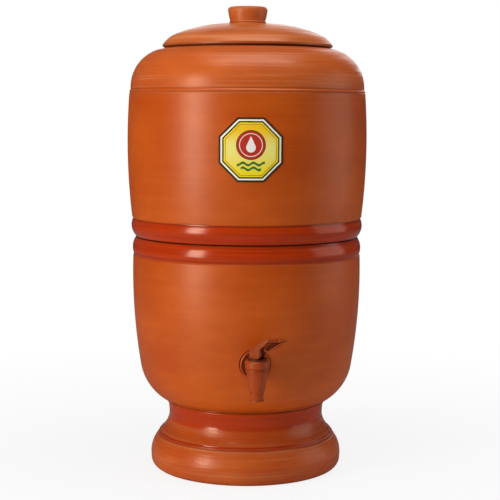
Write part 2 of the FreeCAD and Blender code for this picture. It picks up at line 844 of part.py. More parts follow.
def shank_fixings():
    """Two rubber gaskets and the nut that clamps the wall between them."""
    for name, face in (("tap_outer_gasket", rosette_face), ("tap_inner_gasket", wall_back)):
        hole = at.shank_radius + at.thread_gap
        along_shank(name, [
            (face, hole),
            (face + at.tap_gasket, hole),
            (face + at.tap_gasket, gasket_radius),
            (face, gasket_radius),
        ])
    body = new_body("tap_nut", **tap_place)
    skirt = new_sketch(body, "XZ_Plane", -nut_face)
    draw_circle(skirt, gasket_radius)
    add(body, "Pad", skirt, at.tap_nut_skirt, reverse=True)
    hexagon = new_sketch(body, "XZ_Plane", -nut_face)
    draw(hexagon, polygon(at.tap_nut_flats, HEXAGON))
    add(body, "Pad", hexagon, at.tap_nut_height, reverse=True)
    hole = new_sketch(body, "XZ_Plane", -nut_face)
    draw_circle(hole, at.shank_radius + at.thread_gap)
    add(body, "Pocket", hole, at.tap_nut_height)


def barrel_fittings():
    """Bonnet, cam washer, stem, seal and spring, all on the barrel's axis."""
    edge = at.moulded_edge
    slide = at.tap_stem_radius + at.slide_gap
    guide = plug_foot - at.bonnet_guide_drop
    guide_radius = at.spring_radius + at.spring_land
    bonnet_radius = collar_radius - at.bonnet_setback
    turned("tap_bonnet", [
        (slide, guide),
        (guide_radius, guide),
        (guide_radius, plug_foot),
        (plug_radius, plug_foot),
        (plug_radius, collar_top),
        (bonnet_radius, collar_top),
        (bonnet_radius, bonnet_top - edge),
        (bonnet_radius - edge, bonnet_top, -edge * CORNER_ARC),
        (slide, bonnet_top),
    ], **tap_place)
    turned("tap_cam_washer", [
        (slide, bonnet_top),
        (at.cam_washer_radius, bonnet_top),
        (at.cam_washer_radius, cam_top - edge),
        (at.cam_washer_radius - edge, cam_top, -edge * CORNER_ARC),
        (slide, cam_top),
    ], **tap_place)
    seat = -at.seat_drop
    seal_top = seat + at.seal_thickness
    seal_radius = at.valve_bore - at.seal_gap
    nub_hole = at.stem_nub_radius + at.hinge_gap
    turned("tap_seal", [
        (ZERO, seat),
        (seal_radius, seat),
        (seal_radius, seal_top),
        (nub_hole, seal_top),
        (nub_hole, seal_top - at.stem_nub_length),
        (ZERO, seal_top - at.stem_nub_length),
    ], **tap_place)
    spring_seat = seal_top + at.stem_collar_height
    stem_collar = at.spring_radius + at.stem_collar_margin
    crown = pin_height + at.stem_crown
    stem = turned("tap_stem", [
        (ZERO, seal_top - at.stem_nub_length),
        (at.stem_nub_radius, seal_top - at.stem_nub_length),
        (at.stem_nub_radius, seal_top),
        (stem_collar, seal_top),
        (stem_collar, spring_seat),
        (at.tap_stem_radius, spring_seat),
        (at.tap_stem_radius, crown - edge),
        (at.tap_stem_radius - edge, crown),
        (ZERO, crown),
    ], **tap_place, turn=at.lever_turn)
    eye = new_sketch(stem, "XZ_Plane")
    draw_circle(eye, at.lever_pin_radius, up=pin_height)
    add(stem, "Pocket", eye, at.tap_stem_radius * THROUGH, both=True)
    clear = at.spring_wire + at.hinge_gap
    spring(spring_seat + clear, guide - clear)


def spring(foot, top):
    """Coil that presses the stem's collar down from under the bonnet's guide."""
    body = new_body("tap_spring", **tap_place)
    wire = new_sketch(body, "XZ_Plane")
    draw_circle(wire, at.spring_wire, across=at.spring_radius, up=foot)
    coil = body.newObject("PartDesign::AdditiveHelix", "tap_spring_coil")
    coil.Profile = wire
    coil.ReferenceAxis = (wire, ["V_Axis"])
    coil.Mode = "height-turns-angle"
    coil.Height = (top - foot).value
    coil.setExpression("Height", (top - foot).text)
    coil.Turns = at.spring_turns.value
    coil.setExpression("Turns", at.spring_turns.text)


def tap_lever():
    """Forked head that rocks on the cam washer, with a ribbed paddle to press."""
    place = {"y": -tap_offset, "z": at.shank_height + pin_height, "turn": at.lever_turn}
    body = new_body("tap_lever", **place)
    nose = at.cam_reach + at.cam_height
    paddle_under = at.paddle_height - at.paddle_thickness
    head = new_sketch(body, "XZ_Plane")
    draw(head, [
        (-at.heel_reach, -at.cam_height),
        (at.cam_reach, -at.cam_height),
        (nose, ZERO, -at.cam_height * CORNER_ARC),
        (nose, at.cheek_height),
        (at.brow_reach, at.brow_height),
        (at.paddle_start, paddle_under),
        (at.paddle_start, at.paddle_height),
        (-at.heel_reach, at.heel_height),
    ])
    add(body, "Pad", head, head_width, both=True)
    paddle = new_sketch(body, "XZ_Plane")
    draw(paddle, [
        (at.brow_reach, paddle_under - at.paddle_thickness * HALF),
        (at.paddle_reach, paddle_under + at.paddle_rise),
        (at.paddle_reach, at.paddle_height + at.paddle_rise),
        (at.paddle_start, at.paddle_height),
        (at.brow_reach, at.brow_height),
    ])
    add(body, "Pad", paddle, at.paddle_width, both=True)
    web = new_sketch(body, "XZ_Plane")
    draw(web, [
        (at.web_reach, at.web_height),
        (at.paddle_reach - at.paddle_thickness, paddle_under),
        (at.paddle_reach - at.paddle_thickness, paddle_under + at.paddle_rise),
        (at.brow_reach, paddle_under),
        (nose + at.paddle_thickness, at.brow_height),
        (nose + at.paddle_thickness, at.web_height),
    ])
    add(body, "Pad", web, at.web_width, both=True)
    corners = new_sketch(body, "XY_Plane")
    half = at.paddle_width * HALF
    start = at.paddle_reach - at.paddle_corner
    beyond = at.paddle_reach + at.paddle_thickness
    draw(corners, [
        (start, half),
        (at.paddle_reach, half - at.paddle_corner, at.paddle_corner * CORNER_ARC),
        (at.paddle_reach, at.paddle_corner - half),
        (start, -half, at.paddle_corner * CORNER_ARC),
        (start, -at.paddle_width),
        (beyond, -at.paddle_width),
        (beyond, at.paddle_width),
        (start, at.paddle_width),
    ])
    add(body, "Pocket", corners, at.paddle_height * THROUGH, both=True)
    slot = new_sketch(body, "XZ_Plane")
    back = at.heel_wall - at.heel_reach
    front = nose + at.paddle_thickness
    below = -at.cam_height - at.paddle_thickness
    roof = at.heel_height - at.slot_roof
    slope = (at.paddle_height - at.heel_height) / (at.paddle_start + at.heel_reach)
    draw(slot, [
        (back, below),
        (front, below),
        (front, roof + slope * (front + at.heel_reach)),
        (back, roof + slope * at.heel_wall),
    ])
    add(body, "Pocket", slot, (at.tap_stem_radius + at.slot_gap) * 2.0, both=True)
    eye = new_sketch(body, "XZ_Plane")
    draw_circle(eye, at.lever_pin_radius + at.hinge_gap)
    add(body, "Pocket", eye, head_width * THROUGH, both=True)
    pin = new_body("tap_lever_pin", **place)
    rod = new_sketch(pin, "XZ_Plane")
    draw_circle(rod, at.lever_pin_radius)
    add(pin, "Pad", rod, head_width, both=True)


# ---- build, check and write each piece

lower_chamber()
upper_chamber()
lid()
label()
for number, side in ((1, -1.0), (2, 1.0)):
    candle("candle_%d" % number, side)
    float_valve("float_%d" % number, side)
tap_body()
shank_fixings()
barrel_fittings()
tap_lever()
doc.recompute()

for thing in doc.Objects:
    if "Invalid" in thing.State or "Error" in thing.State:
        raise RuntimeError(thing.Label + " did not build: " + ", ".join(thing.State))
os.makedirs("parts", exist_ok=True)
for body in made:
    shape = body.Shape
    if shape.isNull() or not shape.isValid() or len(shape.Solids) != 1:
        raise RuntimeError(body.Label + " is not one valid solid")
    shape.exportStep(os.path.join("parts", body.Label + ".step"))
    print("%-24s %10.1f mm3" % (body.Label, shape.Volume))
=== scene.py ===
import json
import math

import bpy
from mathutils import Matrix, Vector


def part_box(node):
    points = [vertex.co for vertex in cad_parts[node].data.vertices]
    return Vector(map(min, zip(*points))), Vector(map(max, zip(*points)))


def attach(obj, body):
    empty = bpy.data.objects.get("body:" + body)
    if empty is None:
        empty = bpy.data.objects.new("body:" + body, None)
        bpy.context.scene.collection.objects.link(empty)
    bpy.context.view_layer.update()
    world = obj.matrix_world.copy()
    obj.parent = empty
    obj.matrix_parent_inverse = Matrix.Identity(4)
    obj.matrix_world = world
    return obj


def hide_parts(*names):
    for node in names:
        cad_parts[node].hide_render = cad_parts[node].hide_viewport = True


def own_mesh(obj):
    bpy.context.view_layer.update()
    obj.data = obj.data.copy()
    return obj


# A gravity water filter of fired clay, burnished and banded with red slip, with a
# paper label and a plastic lever tap. Lengths in metres, or in millimetres times MM.

MM = 0.001
AXIS = Vector((0.0, 0.0, 1.0))
SOFT_EDGE = math.radians(38.0)
MOULD_EDGE = math.radians(32.0)
NEARLY_FLAT = math.radians(0.6)
SAME_POINT = 0.02 * MM
SAME_CORNER = 0.005 * MM

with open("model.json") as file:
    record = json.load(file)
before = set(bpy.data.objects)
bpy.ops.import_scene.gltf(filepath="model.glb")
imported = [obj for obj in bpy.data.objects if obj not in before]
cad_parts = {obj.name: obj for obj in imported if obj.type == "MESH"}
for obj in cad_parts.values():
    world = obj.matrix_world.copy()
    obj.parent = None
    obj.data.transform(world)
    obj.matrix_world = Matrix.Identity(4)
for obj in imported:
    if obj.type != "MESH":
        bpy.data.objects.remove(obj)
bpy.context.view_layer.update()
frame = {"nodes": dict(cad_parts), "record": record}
seam_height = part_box("lower_chamber")[1].z
lid_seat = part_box("upper_chamber")[1].z
tap_axis = sum(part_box("tap_bonnet"), Vector()) / 2.0
shank_height = (sum(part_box("tap_nut"), Vector()) / 2.0).z


# ---- modelling helpers

def let_go():
    bpy.ops.object.select_all(action="DESELECT")


def take(piece):
    """Makes one piece the only one that is selected, and the active one."""
    let_go()
    piece.select_set(True)
    bpy.context.view_layer.objects.active = piece
    return piece


def apply_modifier(piece, kind, **settings):
    """Adds a modifier to a piece and applies it."""
    take(piece)
    modifier = piece.modifiers.new(kind.title(), kind)
    for setting, value in settings.items():
        setattr(modifier, setting, value)
    bpy.ops.object.modifier_apply(modifier=modifier.name)


def settle(piece, name):
    """Names a finished piece and puts its place into its mesh."""
    take(piece)
    piece.name = name
    bpy.ops.object.transform_apply(location=True, rotation=True, scale=True)
    return piece


def remove(piece):
    bpy.data.objects.remove(piece, do_unlink=True)


def swell(start, end, bulge, step):
    """Points on the arc from start to end that stands bulge off its chord, to its right."""
    chord = end - start
    half = chord.length / 2.0
    radius = (half * half + bulge * bulge) / (2.0 * bulge)
    right = Vector((chord.y, -chord.x)).normalized()
    centre = (start + end) / 2.0 + right * (bulge - radius)
    sweep = 2.0 * math.atan2(half, radius - bulge)
    if bulge < 0.0:
        sweep = -2.0 * math.atan2(half, bulge - radius)
    count = max(3, math.ceil(abs(radius * sweep) / step))
    spoke = start - centre
    turns = (sweep * index / count for index in range(1, count))
    return [centre + Vector((spoke.x * math.cos(turn) - spoke.y * math.sin(turn),
                             spoke.x * math.sin(turn) + spoke.y * math.cos(turn)))
            for turn in turns]


def turned(name, outline, foot, step=1.6 * MM, facets=190, axis=Vector((0.0, 0.0, 0.0))):
    """Draws half an outline point by point and spins it round an upright axis.

    A corner is (radius, height) in millimetres; a third number is how far the run
    up to it swells out of the clay, or hollows it if negative.
    """
    corners = [Vector((corner[0] * MM, corner[1] * MM + foot)) for corner in outline]
    path = [corners[0]]
    for index in range(1, len(outline)):
        if len(outline[index]) == 3:
            path += swell(corners[index - 1], corners[index], outline[index][2] * MM, step)
        path.append(corners[index])
    path.append(corners[0])
    let_go()
    bpy.ops.mesh.primitive_plane_add(size=MM, location=(axis.x + path[0].x, axis.y, path[0].y))
    piece = bpy.context.object
    bpy.ops.object.mode_set(mode="EDIT")
    bpy.ops.mesh.select_all(action="SELECT")
    bpy.ops.mesh.merge(type="CENTER")
    for here, there in zip(path, path[1:]):
        pull = (there.x - here.x, 0.0, there.y - here.y)
        bpy.ops.mesh.extrude_vertices_move(TRANSFORM_OT_translate={"value": pull})
    bpy.ops.mesh.select_all(action="SELECT")
    bpy.ops.mesh.spin(steps=facets, angle=math.tau, center=(axis.x, axis.y, 0.0), axis=AXIS)
    bpy.ops.mesh.select_all(action="SELECT")
    bpy.ops.mesh.remove_doubles(threshold=SAME_POINT)
    bpy.ops.mesh.normals_make_consistent(inside=False)
    bpy.ops.object.mode_set(mode="OBJECT")
    return settle(piece, name)


def cut(piece, cutter):
    """Takes the cutter's shape out of a piece."""
    apply_modifier(piece, "BOOLEAN", operation="DIFFERENCE", solver="EXACT", object=cutter)
    remove(cutter)


def join(piece, addition):
    """Makes another shape one with a piece."""
    apply_modifier(piece, "BOOLEAN", operation="UNION", solver="EXACT", object=addition)
    remove(addition)


def rod(radius, length, place, turn=(0.0, 0.0, 0.0), facets=95):
    """A plain cylinder to cut with."""
    let_go()
    bpy.ops.mesh.primitive_cylinder_add(vertices=facets, radius=radius, depth=length,
                                        location=place, rotation=turn)
    return settle(bpy.context.object, "cutter")


def smooth(piece):
    take(piece)
    bpy.ops.object.shade_smooth_by_angle(angle=SOFT_EDGE)
    return piece


def moulded(node, edge, body):
    """A copy of a CAD node with its sharp edges rounded, as they leave a mould."""
    take(frame["nodes"][node])
    bpy.ops.object.duplicate()
    piece = bpy.context.object
    piece.parent = None
    for key in list(piece.keys()):
        del piece[key]
    piece.name = node + "_moulded"
    bpy.ops.object.mode_set(mode="EDIT")
    bpy.ops.mesh.select_all(action="SELECT")
    bpy.ops.mesh.remove_doubles(threshold=SAME_CORNER)
    bpy.ops.mesh.dissolve_limited(angle_limit=NEARLY_FLAT)
    bpy.ops.object.mode_set(mode="OBJECT")
    if edge:
        apply_modifier(piece, "BEVEL", width=edge, segments=3, limit_method="ANGLE",
                       angle_limit=MOULD_EDGE, harden_normals=False, use_clamp_overlap=True)
    smooth(piece)
    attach(piece, body)
    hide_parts(node)
    return piece


# ---- finishes

def colour(red, green, blue):
    """A colour as painters mix it on screen, 0 to 255, turned into scene light."""
    def light(share):
        share = share / 255.0
        return share / 12.92 if share <= 0.04045 else ((share + 0.055) / 1.055) ** 2.4
    return (light(red), light(green), light(blue), 1.0)


class Finish:
    """A material whose nodes are added one by one."""

    def __init__(self, name):
        self.material = bpy.data.materials.new(name)
        self.material.use_nodes = True
        self.tree = self.material.node_tree
        self.shader = self.tree.nodes["Principled BSDF"]
        coordinates = self.add("ShaderNodeTexCoord").outputs
        self.place, self.facing = coordinates["Object"], coordinates["Normal"]

    def add(self, kind, inputs=None, **settings):
        step = self.tree.nodes.new(kind)
        for setting, value in settings.items():
            setattr(step, setting, value)
        for socket, value in (inputs or {}).items():
            self.feed(step.inputs[socket], value)
        return step

    def feed(self, socket, value):
        if isinstance(value, bpy.types.NodeSocket):
            self.tree.links.new(value, socket)
        else:
            socket.default_value = value

    def sum(self, kind, first, second):
        return self.add("ShaderNodeMath", {0: first, 1: second}, operation=kind).outputs[0]

    def stretched(self, scale):
        """Object coordinates with each axis scaled for itself."""
        inputs = {"Vector": self.place, "Scale": scale}
        return self.add("ShaderNodeMapping", inputs).outputs["Vector"]

    def outside(self):
        """1 where the surface faces away from the pot's axis, 0 inside and on flat rims."""
        level = {0: self.place, 1: (1.0, 1.0, 0.0)}
        spoke = self.add("ShaderNodeVectorMath", level, operation="MULTIPLY").outputs["Vector"]
        outward = self.add("ShaderNodeVectorMath", {0: spoke}, operation="NORMALIZE")
        both = {0: outward.outputs["Vector"], 1: self.facing}
        turn = self.add("ShaderNodeVectorMath", both, operation="DOT_PRODUCT").outputs["Value"]
        return self.spread(turn, 0.0, 0.3)

    def noise(self, scale, vector=None, detail=3.0, roughness=0.55):
        inputs = {"Vector": vector or self.place, "Scale": scale, "Detail": detail,
                  "Roughness": roughness}
        return self.add("ShaderNodeTexNoise", inputs).outputs["Fac"]

    def spread(self, value, low, high, to_low=0.0, to_high=1.0, easing="SMOOTHSTEP"):
        inputs = {"Value": value, "From Min": low, "From Max": high,
                  "To Min": to_low, "To Max": to_high}
        return self.add("ShaderNodeMapRange", inputs, interpolation_type=easing).outputs["Result"]

    def mix(self, share, first, second, blend="MIX"):
        step = self.add("ShaderNodeMix", data_type="RGBA", blend_type=blend)
        self.feed(step.inputs["Factor"], share)
        self.feed(step.inputs[6], first)
        self.feed(step.inputs[7], second)
        return step.outputs[2]

    def bump(self, height, depth, under=None):
        inputs = {"Height": height, "Distance": depth, "Strength": 1.0}
        if under is not None:
            inputs["Normal"] = under
        return self.add("ShaderNodeBump", inputs).outputs["Normal"]

    def set(self, **inputs):
        """Feeds the shader's sockets; an underscore in a name stands for a space."""
        for socket, value in inputs.items():
            self.feed(self.shader.inputs[socket.replace("_", " ")], value)
        return self.material


warm_gloss, plain_gloss = (1.0, 0.72, 0.54, 1.0), (1.0, 1.0, 1.0, 1.0)
# chalky is the unburnished clay's paler tone; the second colour is a painted highlight for the
# gloss on the wheel's streaks.
chalky, streak_highlight = colour(226, 134, 80), colour(238, 162, 112)
# speck is the clay's own dark specks; the second colour is painted shade for the creases.
speck, crease_shade = colour(104, 38, 8), colour(36, 8, 2)
chalkiness, streak_highlight_share, speckled = 0.17, 0.24, 0.12
burnished, slip_gloss = 0.37, 0.2
grain_depth, streak_depth, rib_depth = 0.02 * MM, 0.32 * MM, 0.3 * MM


def clay(name, body, shade, slip, bands=(), washes=(), creases=(), polished=(0.0, 0.0)):
    """Burnished clay: mottled body, bands and thin washes of red slip, and painted shade along
    creases.

    Between the two polished heights the wheel's marks are fainter, and beyond them the
    clay is chalkier and has pale painted highlight streaks. The slip and the painted crease
    shade stay on the outside.
    """
    finish = Finish(name)
    streaks = finish.noise(1.0, finish.stretched((6.0, 6.0, 420.0)), detail=2.0)
    ribs = finish.noise(1.0, finish.stretched((2.0, 2.0, 120.0)), detail=2.0)
    clouds = finish.noise(1.0, finish.stretched((7.0, 7.0, 14.0)), detail=4.0, roughness=0.6)
    strokes = finish.noise(1.0, finish.stretched((18.0, 18.0, 90.0)), detail=3.0)
    grain = finish.noise(1500.0, detail=2.0)
    ground = finish.mix(finish.spread(clouds, 0.3, 0.68), body, shade)
    ground = finish.mix(finish.spread(ribs, 0.35, 0.75, 0.0, 0.22), ground, shade)
    ground = finish.mix(finish.spread(streaks, 0.5, 0.8, 0.0, 0.25), ground, body)
    height = finish.add("ShaderNodeSeparateXYZ", {"Vector": finish.place}).outputs["Z"]
    waver = finish.spread(strokes, 0.0, 1.0, -0.9 * MM, 0.9 * MM, "LINEAR")
    level = finish.sum("ADD", height, waver)
    brushed = finish.mix(finish.spread(streaks, 0.3, 0.75), slip[0], slip[1])
    outside = finish.outside()
    low, high = polished
    fade, faint = 12.0 * MM, 0.07
    plainer = finish.sum("MULTIPLY", finish.spread(height, low - fade, low + fade),
                         finish.spread(height, high - fade, high + fade, 1.0, 0.0))
    relief = finish.spread(plainer, 0.0, 1.0, 1.0, faint, "LINEAR")
    unevenness = finish.sum("MULTIPLY", finish.sum("SUBTRACT", streaks, 0.5), relief)
    roughness = finish.sum("ADD", finish.sum("MULTIPLY", unevenness, 0.6), burnished)
    chalk = finish.mix(finish.sum("MULTIPLY", relief, chalkiness), ground, chalky)
    # Painted highlight: pale streaks along the wheel's marks outside the polished band, standing
    # for gloss that catches the lamps.
    painted_streak_highlights = finish.sum("MULTIPLY", finish.spread(streaks, 0.52, 0.72), relief)
    paint = finish.mix(finish.sum("MULTIPLY", painted_streak_highlights, streak_highlight_share), chalk, streak_highlight)
    for low, high, soft, cover in (*bands, *washes):
        rise = finish.spread(level, low - soft, low + soft)
        fall = finish.spread(level, high - soft, high + soft, 1.0, 0.0)
        band = finish.sum("MULTIPLY", rise, fall)
        if (low, high, soft, cover) in washes:
            band = finish.sum("MULTIPLY", band, finish.spread(strokes, 0.38, 0.62))
        laid = finish.sum("MULTIPLY", finish.sum("MULTIPLY", band, outside), cover)
        paint = finish.mix(laid, paint, brushed)
        roughness = finish.sum("SUBTRACT", roughness, finish.sum("MULTIPLY", laid, slip_gloss))
    specks = finish.spread(grain, 0.64, 0.76)
    paint = finish.mix(finish.sum("MULTIPLY", specks, speckled), paint, speck)
    # Painted shade: darker bands along creases, grooves, the seam and under rims, where shade
    # falls.
    for crease, half, depth in creases:
        off = finish.sum("ABSOLUTE", finish.sum("SUBTRACT", height, crease), 0.0)
        painted_crease_shade = finish.sum("MULTIPLY", finish.spread(off, 0.0, half, depth, 0.0), outside)
        paint = finish.mix(painted_crease_shade, paint, crease_shade)
    pitted = finish.bump(grain, grain_depth)
    combed = finish.bump(finish.sum("MULTIPLY", streaks, relief), streak_depth, pitted)
    thrown = finish.bump(finish.sum("MULTIPLY", ribs, relief), rib_depth, combed)
    return finish.set(Base_Color=paint, Roughness=roughness, Normal=thrown,
                      Specular_IOR_Level=0.52, Specular_Tint=warm_gloss)


def plastic(name, base, shade, roughness=0.35, grain=900.0, depth=0.01 * MM,
            gleam=plain_gloss, shine=0.5):
    """Moulded plastic with a faint flow pattern and a fine satin grain."""
    finish = Finish(name)
    flow = finish.noise(60.0, detail=2.0)
    skin = finish.noise(grain, detail=2.0)
    gloss = finish.spread(flow, 0.3, 0.7, roughness - 0.05, roughness + 0.07)
    return finish.set(Base_Color=finish.mix(finish.spread(flow, 0.25, 0.75), base, shade),
                      Roughness=gloss, Normal=finish.bump(skin, depth),
                      Specular_IOR_Level=shine, Specular_Tint=gleam)


def grainy(name, base, shade, roughness, scale, depth):
    """A matt, porous or fibrous stuff, such as fired candle clay, charcoal or felt."""
    finish = Finish(name)
    grit = finish.noise(scale, detail=4.0, roughness=0.65)
    tone = finish.mix(finish.spread(grit, 0.35, 0.65), base, shade)
    return finish.set(Base_Color=tone, Roughness=roughness, Normal=finish.bump(grit, depth))


def drawn_steel(name):
    finish = Finish(name)
    drawn = finish.noise(1.0, finish.stretched((4000.0, 4000.0, 300.0)), detail=2.0)
    return finish.set(Base_Color=colour(196, 195, 190), Metallic=1.0,
                      Roughness=finish.spread(drawn, 0.2, 0.8, 0.22, 0.4),
                      Normal=finish.bump(drawn, 0.004 * MM))


def printed_label(name, centre, turn):
    """A varnished paper label: bordered octagon, roundel with a water drop, two waves."""
    finish = Finish(name)
    local = finish.add("ShaderNodeMapping", {
        "Vector": finish.place, "Rotation": (0.0, 0.0, turn),
        "Location": (0.0, 0.0, -centre.z)}).outputs["Vector"]
    axes = finish.add("ShaderNodeSeparateXYZ", {"Vector": local}).outputs
    across, up = axes["X"], axes["Z"]
    side = finish.sum("ABSOLUTE", across, 0.0)
    rise = finish.sum("ABSOLUTE", up, 0.0)
    slant = finish.sum("MULTIPLY", finish.sum("ADD", side, rise), math.sqrt(0.5))
    border = finish.sum("MAXIMUM", finish.sum("MAXIMUM", side, rise), slant)
    fibre = finish.noise(1.0, finish.stretched((900.0, 900.0, 2200.0)), detail=3.0)

    def printing(under, ink, distance, limit, beyond=False):
        """Lays an ink where the distance is under its limit, or beyond it."""
        low, high = (0.0, 1.0) if beyond else (1.0, 0.0)
        edge = 0.12 * MM
        share = finish.spread(distance, limit - edge, limit + edge, low, high)
        return finish.mix(share, under, ink)

    def off_centre(height):
        """Distance from a point of the label's upright middle line."""
        spot = finish.add("ShaderNodeCombineXYZ", {
            "X": across, "Y": finish.sum("SUBTRACT", up, height)}).outputs["Vector"]
        return finish.add("ShaderNodeVectorMath", {0: spot}, operation="LENGTH").outputs["Value"]

    golden, lemon, pale = colour(255, 206, 20), colour(255, 230, 16), colour(255, 240, 130)
    red, maroon, cream = colour(196, 28, 24), colour(96, 24, 12), colour(255, 246, 226)
    black, green = colour(18, 5, 1), colour(28, 112, 52)
    field = finish.mix(finish.spread(up, -26.0 * MM, 0.0), lemon, pale)
    paper = finish.mix(finish.spread(up, 2.0 * MM, 22.0 * MM), field, golden)
    wave_length, swing, stroke = 11.0 * MM, 1.3 * MM, 1.3 * MM
    for height, half in ((-14.5 * MM, 14.5 * MM), (-19.5 * MM, 10.5 * MM)):
        ripple = finish.sum("SINE", finish.sum("MULTIPLY", across, math.tau / wave_length), 0.0)
        crest = finish.sum("ADD", finish.sum("MULTIPLY", ripple, swing), height)
        off = finish.sum("ABSOLUTE", finish.sum("SUBTRACT", up, crest), 0.0)
        reach = finish.sum("SUBTRACT", side, half)
        wave = finish.sum("MAXIMUM", off, finish.sum("ADD", reach, stroke))
        paper = printing(paper, green, wave, stroke)
    hub = off_centre(5.0 * MM)
    for limit, ink in ((15.4 * MM, maroon), (14.6 * MM, red), (12.2 * MM, cream),
                       (11.4 * MM, red)):
        paper = printing(paper, ink, hub, limit)
    taper, tip = math.radians(25.0), 14.2 * MM
    bulb_height, bulb_radius, neck = 2.3 * MM, 5.0 * MM, 4.4 * MM
    below_tip = finish.sum("SUBTRACT", up, tip)
    flank = finish.sum("ADD", finish.sum("MULTIPLY", side, math.cos(taper)),
                       finish.sum("MULTIPLY", below_tip, math.sin(taper)))
    above = finish.sum("SUBTRACT", neck, up)
    bulb = finish.sum("SUBTRACT", off_centre(bulb_height), bulb_radius)
    drop = finish.sum("MINIMUM", bulb, finish.sum("MAXIMUM", flank, above))
    paper = printing(paper, colour(255, 250, 240), drop, 0.0)
    for limit, ink in ((26.1 * MM, colour(176, 30, 18)), (26.6 * MM, lemon),
                       (28.1 * MM, black), (29.6 * MM, colour(255, 250, 232)),
                       (31.4 * MM, black)):
        paper = printing(paper, ink, border, limit, beyond=True)
    worn = finish.mix(finish.spread(fibre, 0.3, 0.75, 0.0, 0.10), paper, colour(226, 206, 150))
    return finish.set(Base_Color=worn, Roughness=0.45, Specular_IOR_Level=0.08,
                      Normal=finish.bump(fibre, 0.008 * MM))


label_turn = math.radians(2.8)
lever_turn = math.radians(-45.0)
clay_tones = (colour(212, 94, 16), colour(192, 74, 4))
red_slip = (colour(192, 58, 10), colour(174, 44, 5))
seam_slip = [(243.8 * MM, 284.4 * MM, 0.4 * MM, 0.97)]
neck_slip = [(37.6 * MM, 42.0 * MM, 0.6 * MM, 0.8), (42.0 * MM, 59.0 * MM, 3.0 * MM, 0.4),
             (57.0 * MM, 76.8 * MM, 3.0 * MM, 0.94)]
# Its creases paint shade at the seam, the grooves, the bead and ledge edges, under the bowl and
# under the lid.
pot_clay = clay("banded_clay", *clay_tones, red_slip, bands=seam_slip + neck_slip,
                washes=[(4.0 * MM, 37.0 * MM, 6.0 * MM, 0.3)],
                creases=[(seam_height, 1.6 * MM, 0.97), (246.0 * MM, 2.6 * MM, 0.25),
                         (284.0 * MM, 1.5 * MM, 0.4), (77.6 * MM, 1.0 * MM, 0.5),
                         (80.0 * MM, 5.0 * MM, 0.28),
                         (37.9 * MM, 0.8 * MM, 0.45), (40.9 * MM, 0.7 * MM, 0.4),
                         (424.1 * MM, 0.7 * MM, 0.2), (427.8 * MM, 1.0 * MM, 0.3),
                         (lid_seat, 1.7 * MM, 0.85)],
                polished=(78.0 * MM, 425.0 * MM))
# Its creases paint shade under the lid's rim, on its lower edge and round the knob's foot.
lid_clay = clay("plain_clay", colour(210, 106, 44), colour(188, 82, 22), red_slip,
                creases=[(lid_seat, 2.3 * MM, 0.97), (lid_seat + 2.8 * MM, 1.8 * MM, 0.35),
                         (lid_seat + 28.3 * MM, 1.0 * MM, 0.3)])
tap_gloss = (1.0, 0.6, 0.38, 1.0)
tap_plastic = plastic("terracotta_plastic", colour(178, 71, 18), colour(168, 63, 14), 0.36,
                      gleam=tap_gloss, shine=0.7)
# The lever's plastic is the tap's plastic made darker: painted shade, for the lever that sits in
# shade.
lever_in_shade_plastic = plastic("lever_in_shade_plastic", colour(160, 63, 14), colour(149, 55, 10), 0.38,
                        gleam=tap_gloss, shine=0.6)
# A darker copy of the tap's plastic, used as painted shade in the lever's recesses and on the
# rosette's front.
painted_shade_plastic = plastic("painted_shade_plastic", colour(104, 35, 8), colour(94, 29, 6), 0.45,
                         gleam=tap_gloss, shine=0.35)
# The cam washer's dark red is partly its own colour and partly painted shade for the gap between
# lever and collar.
washer_and_shade_plastic = plastic("dark_plastic", colour(90, 24, 6), colour(78, 20, 4), 0.42,
                         gleam=warm_gloss)
white_plastic = plastic("white_plastic", colour(226, 227, 222), colour(214, 214, 208))
float_plastic = plastic("float_plastic", colour(236, 235, 228), colour(222, 221, 214), 0.45)
rubber = plastic("black_rubber", colour(38, 37, 36), colour(30, 29, 28), 0.6, 1400.0, 0.02 * MM)
steel = drawn_steel("drawn_steel")
candle_ceramic = grainy("candle_ceramic", colour(236, 232, 222), colour(222, 216, 202),
                        0.85, 1300.0, 0.05 * MM)
charcoal = grainy("charcoal", colour(34, 33, 32), colour(20, 20, 20), 0.9, 900.0, 0.12 * MM)
felt = grainy("felt", colour(222, 220, 210), colour(204, 200, 188), 0.95, 1700.0, 0.1 * MM)
paper = printed_label("label_print", sum(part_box("label"), Vector()) / 2.0, label_turn)

SLOT_FINISH = {
    "clay_body": pot_clay,
    "lid_clay": lid_clay,
    "label_paper": paper,
    "candle_ceramic": candle_ceramic,
    "carbon": charcoal,
    "felt": felt,
    "white_plastic": white_plastic,
    "float_plastic": float_plastic,
    "tap_plastic": tap_plastic,
    "rubber_seal": rubber,
    "steel": steel,
}


def paint(piece, material):
    """Gives a piece one finish all over."""
    piece.data.materials.clear()
    piece.data.materials.append(material)
    return piece


for part in frame["record"]["subparts"]:
    paint(frame["nodes"][part["node"]], SLOT_FINISH[part["material_slot"]])


# ---- clay

THROUGH = 40.0 * MM
TAP_HOLE_RADIUS = 9.0 * MM
CANDLE_HOLE_RADIUS = 8.0 * MM


